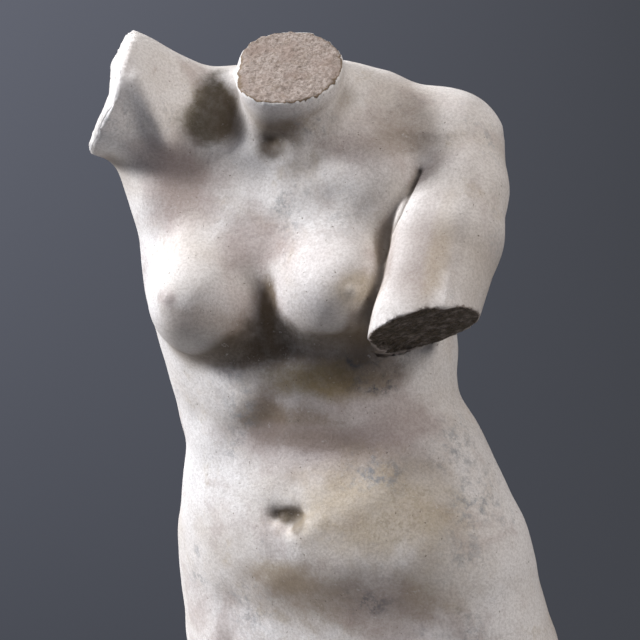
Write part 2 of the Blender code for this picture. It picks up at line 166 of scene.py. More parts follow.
def mass(points, centre, radii, turn=0.0):
    """Signed distance to an egg-shaped mass turned about Z, near enough for blending."""
    turn = math.radians(turn)
    d = points - np.asarray(centre, float)
    x = d[:, 0] * math.cos(turn) + d[:, 1] * math.sin(turn)
    y = -d[:, 0] * math.sin(turn) + d[:, 1] * math.cos(turn)
    d = np.column_stack([x, y, d[:, 2]])
    radii = np.asarray(radii, float)
    near = np.linalg.norm(d / radii, axis=1)
    steep = np.linalg.norm(d / radii**2, axis=1)
    return near * (near - 1.0) / np.maximum(steep, 1e-6)


# Limbs, as stations of x, y, z and radius
NECK = [(-59, 6, 655, 50), (-53, -17, 708, 47), (-44, -43, 750, 49), (-37, -62, 786, 50)]
LEFT_ARM = [
    (92, 36, 674, 46),
    (103, 6, 636, 45.5),
    (105, -24, 600, 48),
    (102, -86, 526, 45),
    (99, -111, 496, 43),
]
RIGHT_SHOULDER = [
    (-140, -5, 640, 48),
    (-168, -20, 693, 52),
    (-215, -46, 722, 56),
    (-246, -63, 735, 58),
]
LEFT_THIGH = [(100, 2, 180, 66), (105, 2, 100, 80), (94, -4, 0, 79), (88, -8, -50, 77)]
RIGHT_THIGH = [(-66, -4, 180, 62), (-70, -10, 100, 78), (-62, -22, 0, 76), (-57, -28, -50, 75)]
LEFT_TRAPEZIUS = [(-45, 24, 722, 32), (20, 30, 712, 28), (80, 38, 687, 27)]
RIGHT_TRAPEZIUS = [(-70, 22, 716, 28), (-125, 4, 706, 24), (-190, -26, 740, 20)]

# How limbs join the trunk: the fillet between their own stretches, and the one to the trunk
LIMB_JOINTS = (
    (RIGHT_SHOULDER, 16.0, 40.0),
    (RIGHT_TRAPEZIUS, 16.0, 26.0),
    (LEFT_TRAPEZIUS, 16.0, 26.0),
    (NECK, 12.0, 22.0),
)
THIGH_SOFTNESS = 30.0
THIGH_PARTING = 8.0  # fillet between the two thighs
THIGH_FILLET = 40.0

# The left arm lies against the chest below its fold, and grows out of it above
ARM_FOLD = (650.0, 692.0)  # heights
ARM_FILLET = (7.0, 43.0)  # fillet below the fold and above it
ARM_WEB = 22.0  # more fillet where the arm's lower end meets the ribs
ARM_WEB_PLACE = (62.0, -80.0, 498.0)
ARM_WEB_REACH = 30.0

# Where limbs are lost: a point on the break and its outward direction
NECK_BREAK = ((-44, -43, 750), (0.12, -0.56, 0.82))
LEFT_ARM_BREAK = ((102, -86, 526), (0.37, -0.37, -0.85))
RIGHT_ARM_BREAK = ((-215, -46, 724), (-0.85, -0.39, 0.34))
BREAK_SPARE = 8.0  # what is left past the left arm's break for its cutter


def foot_box():
    """The lowest and highest x and y of the thighs where they are cut flat."""
    feet = [path[2] for path in (LEFT_THIGH, RIGHT_THIGH)]
    x = [x + side * radius for x, _, _, radius in feet for side in (-1, 1)]
    y = [y + side * radius for _, y, _, radius in feet for side in (-1, 1)]
    return min(x), max(x), min(y), max(y)


def on_skin(side, height, front=True):
    """The point of the trunk's skin at that distance to its left, on its front or back."""
    _, _, _, right, left, ahead, behind, _ = slices_at(TRUNK_SLICES, np.array([height], float))[0]
    share = min(abs(side) / (right if side < 0 else left), 0.98)
    depth = (1 - share**TRUNK_ROUNDNESS) ** (1 / TRUNK_ROUNDNESS)
    return on_body(side, ahead * depth if front else -behind * depth, height)


# Soft strokes on the front of the trunk, as a sculptor's thumb leaves them: points
# (side, height), then the width and the rise, or the depth where it is negative
FRONT_STROKES = {
    "notch above the breastbone": ([(3, 700), (3, 686)], 14, -7),
    "left collar bone": ([(24, 676), (60, 699), (105, 716)], 13, 2),
    "left of the upper chest": ([(50, 700), (96, 694)], 26, 4.5),
    "right collar bone": ([(-14, 674), (-50, 672), (-80, 682), (-98, 701)], 13, 3.5),
    "left pectoral": ([(35, 642), (115, 655)], 26, 3),
    "right pectoral": ([(-60, 628), (-118, 632)], 30, 2.5),
    "breastbone": ([(-8, 548), (-10, 500)], 15, -2.5),
    "handle of the breastbone": ([(20, 667), (8, 632)], 14, 2.5),
    "white line": ([(-6, 482), (-14, 440)], 18, -2),
    "right rib arch": ([(-9, 478), (-69, 429), (-111, 404)], 24, 3),
    "left rib arch": ([(3, 478), (56, 438), (109, 420)], 24, 3),
    "waist fold": ([(-100, 424), (-58, 415), (4, 408), (52, 410), (108, 432)], 18, -3.5),
    "belly": ([(-30, 322), (10, 320)], 60, 6),
    "fold left of the navel": ([(12, 338), (42, 357), (80, 378)], 17, 2),
    "under the belly": ([(-50, 258), (75, 262)], 34, -4.5),
    "right hollow of the hip": ([(-76, 280), (-86, 240), (-66, 205)], 24, -2),
    "left hollow of the hip": ([(102, 290), (104, 250), (80, 205)], 26, -3),
    "right groin": ([(-100, 206), (-62, 172), (-20, 138)], 15, -6),
    "left groin": ([(108, 212), (66, 174), (14, 138)], 15, -6),
    "navel": ([(-23, 347), (0, 350)], 7.5, -6.5),
    "foot of the navel": ([(-8, 341)], 7, -4.5),
    "lip of the navel": ([(-1, 328), (13, 335), (24, 348)], 7, 2.5),
    "round the navel": ([(-18, 351), (-2, 351)], 22, -2),
}
BACK_STROKES = {
    "furrow of the upper back": ([(0, 690), (2, 560)], 18, -6),
    "furrow of the loins": ([(2, 560), (-2, 430), (-4, 300)], 20, -8),
    "left flesh of the loins": ([(36, 480), (36, 330)], 26, 4),
    "right flesh of the loins": ([(-36, 480), (-40, 330)], 26, 4),
    "left edge of the shoulder blade": ([(48, 640), (60, 560)], 16, -4),
    "right edge of the shoulder blade": ([(-56, 660), (-70, 575)], 16, -4),
    "cleft": ([(-2, 240), (0, 100)], 14, -13),
    "left fold of the seat": ([(30, 112), (110, 118)], 16, -7),
    "right fold of the seat": ([(-30, 108), (-110, 112)], 16, -7),
}


# Broad masses on the trunk, in its own directions: side, ahead, height, radii, turn and fillet
MASSES = [
    (-76, -58, 612, (52, 42, 74), -12, 26.0),  # right shoulder blade
    (76, -58, 612, (52, 42, 74), 12, 26.0),  # left shoulder blade
    (-72, -56, 192, (76, 66, 80), 0, 24.0),  # right seat
    (72, -56, 192, (76, 66, 80), 0, 24.0),  # left seat
    (90, 4, 640, (58, 62, 62), 0, 24.0),  # left pectoral, up to the arm
]

# The breasts: how far to the left and how high their middles are, and their nipples
BREASTS = ((-66, 533, (-88, 118, 546)), (48, 551, (83, 118, 560)))
BREAST_WHOLE = (60.0, (54.0, 56.0, 53.0))  # how far ahead, and the radii
BREAST_TIP = (86.0, (31.0, 31.0, 31.0))
BREAST_ABOVE = (44.0, (48.0, 42.0, 46.0))
BREAST_RISE = 30.0  # of the last over the first
BREAST_DRAW = (0.62, 0.70)  # the tip's way to the nipple, to the side and up
BREAST_SOFTNESS = 30.0  # fillet between a breast's own lumps
BREAST_PARTING = 6.0  # fillet between the two
BREAST_FILLET = 15.0


def skin_strokes(table, front):
    """The strokes of a table with their points set on the trunk's skin."""
    return [
        ([on_skin(side, height, front) for side, height in path], width, rise)
        for path, width, rise in table.values()
    ]


# Strokes off the trunk, through plain points
LIMB_STROKES = {
    "hollow behind the right collar bone": ([(-122, -50, 742), (-110, -64, 702)], 28, -21),
    "ridge of the raised shoulder": ([(-169, -86, 737), (-150, -78, 682)], 11, 7),
    "valley of the raised shoulder": ([(-236, -122, 762), (-165, -84, 691), (-125, -92, 640)], 18, -4),
    "right edge of the chest": ([(-169, -70, 626), (-130, -90, 605)], 22, 4),
    "groove of the left shoulder": ([(48, -22, 712), (74, -40, 668)], 22, -3),
    "inner edge of the left arm": ([(79, -50, 623), (77, -84, 583), (76, -112, 549)], 15, 5),
    "flat of the left arm": ([(113, -58, 628), (111, -120, 554)], 18, -2),
    "left deltoid": ([(128, -4, 668), (122, -40, 612)], 26, 4),
}


def raised(points, strokes=None):
    """What the strokes add to the skin, all of the solid's unless others are given."""
    total = np.zeros(len(points))
    for path, width, rise in STROKES if strokes is None else strokes:
        ends = zip(path, path[1:]) if len(path) > 1 else [(path[0], path[0])]
        distance = np.min([away(points, *pair) for pair in ends], axis=0)
        total += rise * np.exp(-((distance / width) ** 2))
    return total


def away(points, start, end):
    """Each point's distance to the straight stretch from start to end."""
    start, end = np.asarray(start, float), np.asarray(end, float)
    along = end - start
    t = np.clip((points - start) @ along / max(along @ along, 1e-9), 0.0, 1.0)
    return np.linalg.norm(points - start - t[:, None] * along, axis=1)


STROKES = [
    *skin_strokes(FRONT_STROKES, True),
    *skin_strokes(BACK_STROKES, False),
    *LIMB_STROKES.values(),
]


def beyond(points, place, outward):
    """How far the points lie past the plane of a break."""
    outward = np.array(outward, float)
    return (points - np.array(place, float)) @ (outward / np.linalg.norm(outward))


def figure(points, spare=BREAK_SPARE):
    """Signed distance to the torso before its strokes and its breaks.

    The left arm ends that much past its break, clear of the ribs below it.
    """
    body = trunk(points)
    for path, soft, fillet in LIMB_JOINTS:
        body = join(body, limb(points, path, soft), fillet)
    body = join(body, breasts(points), BREAST_FILLET)
    thighs = [limb(points, path, THIGH_SOFTNESS) for path in (LEFT_THIGH, RIGHT_THIGH)]
    body = join(body, join(*thighs, THIGH_PARTING), THIGH_FILLET)
    for side, ahead, height, radii, turn, fillet in MASSES:
        body = join(body, mass(points, on_body(side, ahead, height), radii, turn), fillet)
    tied = np.clip((points[:, 2] - ARM_FOLD[0]) / (ARM_FOLD[1] - ARM_FOLD[0]), 0.0, 1.0)
    fillet = ARM_FILLET[0] + (ARM_FILLET[1] - ARM_FILLET[0]) * tied**2
    web = np.linalg.norm(points - ARM_WEB_PLACE, axis=1) / ARM_WEB_REACH
    fillet += ARM_WEB * np.exp(-(web**2))
    arm = cut(limb(points, LEFT_ARM), beyond(points, *LEFT_ARM_BREAK) - spare, 1.0 + spare)
    return join(body, arm, fillet)


def breasts(points):
    """Signed distance to both breasts: round below, full above, drawn out to the nipples."""
    both = None
    for side, height, nipple in BREASTS:
        tip_side = side + BREAST_DRAW[0] * (nipple[0] - side)
        tip_height = height + BREAST_DRAW[1] * (nipple[2] - height)
        breast = None
        for (ahead, radii), across, up in (
            (BREAST_WHOLE, side, height),
            (BREAST_TIP, tip_side, tip_height),
            (BREAST_ABOVE, side, height + BREAST_RISE),
        ):
            lump = mass(points, on_body(across, ahead, up), radii)
            breast = lump if breast is None else join(breast, lump, BREAST_SOFTNESS)
        both = breast if both is None else join(both, breast, BREAST_PARTING)
    return both


def drawn_onto(form, relief, points, passes, longest=8.0, step=0.5):
    """The points, moved down the form's slope until they lie on it and its relief."""
    for _ in range(passes):
        base = form(points)
        slope = np.column_stack([(form(points + axis) - base) / step for axis in np.eye(3) * step])
        steep = np.maximum((slope**2).sum(axis=1), 0.05)
        move = slope * ((base - relief(points)) / steep)[:, None]
        length = np.linalg.norm(move, axis=1)
        points = points - move * np.minimum(1.0, longest / np.maximum(length, 1e-9))[:, None]
    return points


# The finer carving

# Strokes that the solid leaves out: small, or sharper than its faces
NIPPLES = [on_body(*nipple) for _, _, nipple in BREASTS]
ARM_CREASE = [(79, -28, 657), (75, -36, 644), (73, -52, 632), (70, -58, 621), (64, -57, 609)]
CREASE_SHADE = 3.4  # how far the painted shade spreads to each side of that crease
FINE_STROKES = {
    "right nipple": ([NIPPLES[0]], 4.5, 3.5),
    "left nipple": ([NIPPLES[1]], 4.5, 3.5),
    "right areola": ([NIPPLES[0]], 11.0, 1.2),
    "left areola": ([NIPPLES[1]], 11.0, 1.2),
    "crease of the left arm": (ARM_CREASE, 3.0, -3.4),
    "ridge at the foot of the left arm": ([(129, -97, 572), (131, -113, 552)], 6.0, 2.0),
    "shoulder ridge": ([(-163, -84, 722), (-156, -80, 700)], 7.0, 2.5),
}

# Where the mesh is finer: a stretch and the reach round it
DETAILS = (
    ([NIPPLES[0]], 16.0),
    ([NIPPLES[1]], 16.0),
    ([on_skin(-20, 346), on_skin(8, 346)], 24.0),
    ([ARM_CREASE[0], ARM_CREASE[-1]], 12.0),
)

# The breaks: the limb and the plane of each
FREE_BREAKS = {"neck": (NECK, NECK_BREAK), "right_arm": (RIGHT_SHOULDER, RIGHT_ARM_BREAK)}
BREAKS = {**FREE_BREAKS, "left_arm": (LEFT_ARM, LEFT_ARM_BREAK)}
BREAK_MARGIN = 12.0
BREAK_REACH = 120.0
BREAK_ROUNDING = 1.2
BREAK_RIM = 1.6  # how deep under the lost skin a break is bare all over
BREAK_GRIT = 3.0  # how far the relief of a break reaches into its limb

# The relief of each break: height and size of its waves, then of its grains, and its chips
BREAK_RELIEF = {
    "neck": (1.5, 26.0, 0.9, 4.0, 1.4),
    "right_arm": (2.6, 26.0, 0.5, 6.0, 1.6),
    "left_arm": (1.6, 18.0, 0.8, 4.5, 1.2),
}
RIM_WIDTH = 3.0  # how far from the rim a break is chipped
RIM_CHIP_SIZE = 7.0
STUMP_TURN = 0.16  # how far the lower half of the stump's break turns away from the front
STUMP_TURN_HALF = 30.0  # half the height and width over which it turns
STUMP_SWELL = (4.0, 749.0, 24.0)  # how far its upper half swells out, at what height, how high

# The worked surface, and its dirt and painted shade
SWELL_LENGTHS = (34.0, 57.0, 93.0)
SWELL_HEIGHT = 0.11
CAVITY_ROUNDS = 500  # smoothing of the cavities, times the square of the mesh's step
CAVITY_DEPTH = 1.6  # the sinking that counts as a full cavity

# The plinth's skin, in metres
PLINTH_VOXEL = 0.0035
PLINTH_EDGE = 0.006  # how far the wear of an edge reaches
PLINTH_WEAR = 0.0014
PLINTH_CHIP_SIZE = 0.021
PLINTH_HEWN_SIZE = 0.034

# The pattern's place in the frame
TORSO_LOW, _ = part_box("torso")
MM = TORSO_HEIGHT / PATTERN_HEIGHT
FOOT_LEFT, FOOT_RIGHT, FOOT_FRONT, FOOT_BACK = foot_box()
TORSO_PLACE = np.array(
    [-(FOOT_LEFT + FOOT_RIGHT) / 2 * MM, -(FOOT_FRONT + FOOT_BACK) / 2 * MM, TORSO_LOW[2]]
)


def rough(points, size, octaves=3):
    """Blender's noise at each point, about -1 to 1, with lumps of that size."""
    return np.array([noise.fractal(Vector(point) / size, 1.0, 2.0, octaves) for point in points])


def fine_relief(points):
    """The solid's strokes, the finer ones, the worked surface, and the breaks' own relief."""
    total = raised(points) + raised(points, FINE_STROKES.values()) + unevenness(points)
    for name, share in bare(points):
        fresh = np.flatnonzero(share > 0.02)
        if len(fresh):
            total[fresh] += share[fresh] * break_relief(name, points[fresh])
    return total


def unevenness(points):
    """Slow swells of the worked surface."""
    total = np.zeros(len(points))
    for i, length in enumerate(SWELL_LENGTHS):
        for k in range(3):
            turn, tilt = 2.4 * (3 * i + k), 0.9 * k - 0.8 + 0.3 * i
            wave = np.array(
                [math.cos(turn) * math.cos(tilt), math.sin(turn) * math.cos(tilt), math.sin(tilt)]
            )
            total += np.sin(points @ wave * (2 * math.pi / length) + i + 2 * k)
    return SWELL_HEIGHT * total


def break_relief(name, points):
    """How far a break stands out of its plane, and where its rim is chipped away."""
    waves, wave_size, grains, grain_size, chips = BREAK_RELIEF[name]
    path, (place, outward) = BREAKS[name]
    relief = waves * rough(points, wave_size) + grains * rough(points, grain_size, 2)
    if name == "right_arm":
        low = np.clip((place[2] - points[:, 2]) / STUMP_TURN_HALF, -0.6, 1.0)
        ahead = np.clip(place[1] - points[:, 1], -STUMP_TURN_HALF, STUMP_TURN_HALF)
        relief += STUMP_TURN * low * ahead
        swell, height, reach = STUMP_SWELL
        relief += swell * np.exp(-(((points[:, 2] - height) / reach) ** 2))
    at_rim = np.exp(-np.maximum(-limb(points, path), 0.0) / RIM_WIDTH)
    at_rim *= np.exp(-np.maximum(-beyond(points, place, outward), 0.0) / RIM_WIDTH)
    return relief - chips * at_rim * np.clip(rough(points, RIM_CHIP_SIZE, 2) + 0.25, 0.0, 1.0)


def break_distance(points, path, place, outward):
    """Signed distance to what a break takes away of a limb."""
    return cut(-beyond(points, place, outward), limb(points, path) - BREAK_MARGIN, 1.0)


def broken_figure(points):
    """The figure without its lost limbs, and flat under the thighs."""
    body = figure(points, 0.0)
    for path, (place, outward) in FREE_BREAKS.values():
        near = np.linalg.norm(points - np.array(place, float), axis=1) < BREAK_REACH
        if near.any():
            lost = break_distance(points[near], path, place, outward)
            body[near] = cut(body[near], -lost, BREAK_ROUNDING)
    return cut(body, -points[:, 2], BREAK_ROUNDING)


def vertices_of(mesh, value="co"):
    """Each vertex's place, or its normal where that is asked for."""
    flat = np.empty(len(mesh.vertices) * 3)
    mesh.vertices.foreach_get(value, flat)
    return flat.reshape(-1, 3)


def on_pattern(mesh):
    """A mesh's vertices in pattern millimetres."""
    return (vertices_of(mesh) - TORSO_PLACE) / MM


def set_on_pattern(mesh, points):
    mesh.vertices.foreach_set("co", (points * MM + TORSO_PLACE).ravel())


def subdivide_details(mesh):
    """Halves the mesh's step on the breaks and round the small strokes."""
    points = on_pattern(mesh)
    fine = np.zeros(len(points), bool)
    for _, share in bare(points):
        fine |= share > 0.01
    for path, width in DETAILS:
        fine |= away(points, path[0], path[-1]) < width
    solid = bmesh.new()
    solid.from_mesh(mesh)
    solid.verts.ensure_lookup_table()
    edges = [edge for edge in solid.edges if all(fine[corner.index] for corner in edge.verts)]
    bmesh.ops.subdivide_edges(solid, edges=edges, cuts=1, use_grid_fill=True)
    solid.to_mesh(mesh)
    solid.free()


def evaluated_mesh(obj):
    bpy.context.view_layer.update()
    graph = bpy.context.evaluated_depsgraph_get()
    return bpy.data.meshes.new_from_object(obj.evaluated_get(graph))


def remeshed(node, voxel):
    """A node's own mesh in even squares of that many metres."""
    block = bpy.data.objects.new(node + "_block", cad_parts[node].data.copy())
    bpy.context.scene.collection.objects.link(block)
    remesh = block.modifiers.new("even_skin", "REMESH")
    remesh.mode = "VOXEL"
    remesh.voxel_size = voxel
    mesh = evaluated_mesh(block)
    bpy.data.objects.remove(block)
    return mesh


def show(name, mesh, material):
    """A new piece of the object, riding on its one body."""
    piece = bpy.data.objects.new(name, mesh)
    bpy.context.scene.collection.objects.link(piece)
    mesh.name = name
    mesh.materials.clear()
    mesh.materials.append(material)
    mesh.shade_smooth()
    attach(piece, "root")
    return piece


def smoothed(values, edges, count, rounds):
    """Values at the points, each moved towards the mean of its neighbours."""
    a, b = edges.T
    degree = np.bincount(edges.ravel(), minlength=count).astype(float)
    for _ in range(rounds):
        total = np.bincount(a, values[b], count) + np.bincount(b, values[a], count)
        values = 0.4 * values + 0.6 * total / np.maximum(degree, 1.0)
    return values


def edges_of(mesh):
    flat = np.empty(len(mesh.edges) * 2, np.int32)
    mesh.edges.foreach_get("vertices", flat)
    return flat.reshape(-1, 2)


def store(mesh, name, values):
    """Keeps a value for each point of a mesh, for its material to read."""
    mesh.attributes.new(name, "FLOAT", "POINT").data.foreach_set("value", values.astype(np.float32))


def store_form(mesh, rounds):
    """Keeps what dirt and painted shade follow, smoothed: cavity is above 0 in hollows and
    below 0 on ridges, and underside is 1 where the skin faces down."""
    points, normals, edges = vertices_of(mesh), vertices_of(mesh, "normal"), edges_of(mesh)
    count = len(points)
    centre = np.column_stack([smoothed(points[:, k], edges, count, rounds) for k in range(3)])
    sunk = ((centre - points) * normals).sum(axis=1)
    store(mesh, "cavity", smoothed(sunk, edges, count, rounds // 2) / (CAVITY_DEPTH * MM))
    store(mesh, "underside", smoothed(-normals[:, 2], edges, count, rounds // 4))


def bare(points):
    """Nearly 1 on each break and 0 on the skin, by how deep a point lies in its whole limb."""
    for name, (path, (place, outward)) in BREAKS.items():
        depth = np.clip(-(limb(points, path) - raised(points)) / BREAK_RIM, 0.0, 1.0)
        at_break = np.clip(1.0 + (beyond(points, place, outward) + BREAK_GRIT) / BREAK_RIM, 0.0, 1.0)
        yield name, np.minimum(depth, at_break)


def painted_crease_shade(points):
    """Painted shade along the crease of the left arm: 1 on it, fading to each side."""
    stretches = zip(ARM_CREASE, ARM_CREASE[1:])
    distance = np.min([away(points, start, end) for start, end in stretches], axis=0)
    return np.exp(-((distance / CREASE_SHADE) ** 2))


def carved_torso():
    """The torso with its fine skin, from the solid's own mesh."""
    mesh = remeshed("torso", SKIN_VOXEL * MM)
    set_on_pattern(mesh, drawn_onto(broken_figure, fine_relief, on_pattern(mesh), SETTLING_PASSES))
    subdivide_details(mesh)
    points = drawn_onto(broken_figure, fine_relief, on_pattern(mesh), DETAIL_PASSES)
    set_on_pattern(mesh, points)
    store_form(mesh, int(CAVITY_ROUNDS / SKIN_VOXEL**2))
    # Where shade is painted along the arm's crease
    store(mesh, "crease", painted_crease_shade(points))
    for name, values in bare(points):
        store(mesh, "broken_" + name, values)
    piece = show("carved_torso", mesh, cast_stone())
    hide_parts("torso")


def worn_plinth():
    """The low base, with worn, chipped edges and a hewn skin, all within its solid."""
    mesh = remeshed("plinth", PLINTH_VOXEL)
    low, high = (np.array(corner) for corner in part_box("plinth"))
    points = vertices_of(mesh)
    to_faces = np.sort(np.minimum(points - low, high - points), axis=1)
    edge = np.exp(-np.maximum(to_faces[:, 1], 0.0) / PLINTH_EDGE)
    chips = np.clip(rough(points, PLINTH_CHIP_SIZE) + 0.15, 0.0, 1.0)
    hewn = 0.5 + 0.5 * np.clip(rough(points, PLINTH_HEWN_SIZE, 2), -1.0, 1.0)
    under = points[:, 2] < low[2] + PLINTH_EDGE / 4
    sunk = PLINTH_WEAR * (0.35 * hewn + edge * (0.5 + 2.2 * chips))
    sunk[under] = 0.0
    points -= vertices_of(mesh, "normal") * sunk[:, None]
    mesh.vertices.foreach_set("co", np.clip(points, low, high).ravel())
    store(mesh, "worn", np.clip(edge * (0.4 + 1.2 * chips), 0.0, 1.0))
    piece = show("worn_plinth", mesh, plinth_stone())
    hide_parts("plinth")


# Materials


class Shading:
    """A material's nodes, with short calls for the patterns that stone needs."""

    def __init__(self, name):
        self.material = bpy.data.materials.new(name)
        self.material.use_nodes = True
        self.tree = self.material.node_tree
        self.shader = self.tree.nodes["Principled BSDF"]
        self.place = self.node("ShaderNodeTexCoord").outputs["Object"]

    def node(self, kind, inputs=(), **settings):
        made = self.tree.nodes.new(kind)
        for key, value in settings.items():
            setattr(made, key, value)
        for key, value in dict(inputs).items():
            if isinstance(value, bpy.types.NodeSocket):
                self.tree.links.new(value, made.inputs[key])
            else:
                made.inputs[key].default_value = value
        return made

    def math(self, operation, first, second=0.0, clamp=False):
        inputs = {0: first, 1: second}
        return self.node("ShaderNodeMath", inputs, operation=operation, use_clamp=clamp).outputs[0]

    def noise(self, size, detail=4.0, roughness=0.55, distortion=0.0, offset=0.0):
        """Noise whose features are about that many metres across."""
        place = self.vector("ADD", self.place, (offset, offset, offset)).outputs[0]
        inputs = {
            "Vector": place,
            "Scale": 1.0 / size,
            "Detail": detail,
            "Roughness": roughness,
            "Distortion": distortion,
        }
        return self.node("ShaderNodeTexNoise", inputs).outputs["Fac"]

    def step(self, value, low, high, least=0.0, most=1.0):
        """least below low, most above high, and a smooth rise between them."""
        inputs = {"Value": value, "From Min": low, "From Max": high}
        inputs |= {"To Min": least, "To Max": most}
        made = self.node("ShaderNodeMapRange", inputs, interpolation_type="SMOOTHSTEP")
        return made.outputs["Result"]

    def product(self, first, second, clamp=False):
        return self.math("MULTIPLY", first, second, clamp)

    def mix(self, share, first, second):
        """The first colour, with that share of the second over it."""
        inputs = {0: share, 6: colour_of(first), 7: colour_of(second)}
        return self.node("ShaderNodeMix", inputs, data_type="RGBA").outputs[2]

    def stored(self, name):
        """A value that the mesh stores at its points."""
        return self.node("ShaderNodeAttribute", attribute_name=name).outputs["Fac"]

    def vector(self, operation, first, second=(0.0, 0.0, 0.0)):
        inputs = {0: first, 1: second}
        return self.node("ShaderNodeVectorMath", inputs, operation=operation)

    def spot(self, centre, radii, edge, wander):
        """1 within an egg-shaped place on the pattern, fading to 0 past its wandering edge."""
        centre = tuple(np.array(centre, float) * MM + TORSO_PLACE)
        radii = tuple(np.array(radii, float) * MM)
        offset = self.vector("SUBTRACT", self.place, centre).outputs[0]
        shares = self.vector("DIVIDE", offset, radii).outputs[0]
        reach = self.vector("LENGTH", shares).outputs["Value"]
        return self.step(self.math("ADD", reach, wander), 1.0 - edge, 1.0 + edge, 1.0, 0.0)

    def finish(self, colour, roughness, height, depth=1.0):
        """Sets the shader from its patterns. Height is in metres where depth is 1."""
        self.tree.links.new(colour, self.shader.inputs["Base Color"])
        self.tree.links.new(roughness, self.shader.inputs["Roughness"])
        bump = self.node("ShaderNodeBump", {"Height": height, "Distance": depth, "Strength": 1.0})
        self.tree.links.new(bump.outputs["Normal"], self.shader.inputs["Normal"])
        return self.material


def colour_of(value):
    return (*value, 1.0) if isinstance(value, tuple) else value


# Colours of the patina, of the painted shade and of the breaks, as linear red, green and blue
CREAM = (0.61, 0.56, 0.515)
CHALK = (0.77, 0.745, 0.735)
MAUVE = (0.42, 0.345, 0.325)
OCHRE = (0.44, 0.355, 0.235)
YELLOW = (0.33, 0.25, 0.125)
# Umber darkens dirt in pits and hollows, and also paints shade
UMBER = (0.115, 0.076, 0.038)
# Earth brown is patina, and also paints shade on undersides and round the breasts
EARTH = (0.215, 0.155, 0.100)
# Near black, only for painted shade: the notch, the navel, the arm's crease and under the breasts
PAINTED_SHADE_BLACK = (0.055, 0.036, 0.017)
BLUE_GREY = (0.22, 0.24, 0.265)
BLUE_BLACK = (0.065, 0.078, 0.10)
OLIVE = (0.105, 0.082, 0.042)
# Reddish brown, only for painted shade at the right breast's foot
PAINTED_SHADE_BROWN = (0.24, 0.150, 0.082)
DUN = (0.33, 0.275, 0.25)
GRIT_PALE = (0.41, 0.35, 0.315)
GRIT_RIM = (0.20, 0.14, 0.085)
GRIT_DARK = (0.15, 0.11, 0.085)
GRIT_BROWN = (0.27, 0.20, 0.165)
CORE_WHITE = (0.72, 0.69, 0.665)
CORE_GREY = (0.58, 0.54, 0.505)
# Near black: painted shade on the left arm's down-facing break
CORE_IN_PAINTED_SHADE = (0.030, 0.020, 0.011)
CORE_BROWN = (0.13, 0.095, 0.06)

# Colours of the plinth and of the floor
LIMESTONE = ((0.36, 0.33, 0.30), (0.50, 0.47, 0.43))
LIMESTONE_VEIN = (0.20, 0.17, 0.14)
LIMESTONE_WORN = (0.62, 0.59, 0.55)
PLASTER = ((0.60, 0.59, 0.58), (0.65, 0.64, 0.63))

# Colours of the surround
SLATE_LIT = (0.141, 0.150, 0.187)
SLATE_LOW = (0.066, 0.071, 0.088)
SLATE_DARK = (0.053, 0.056, 0.066)
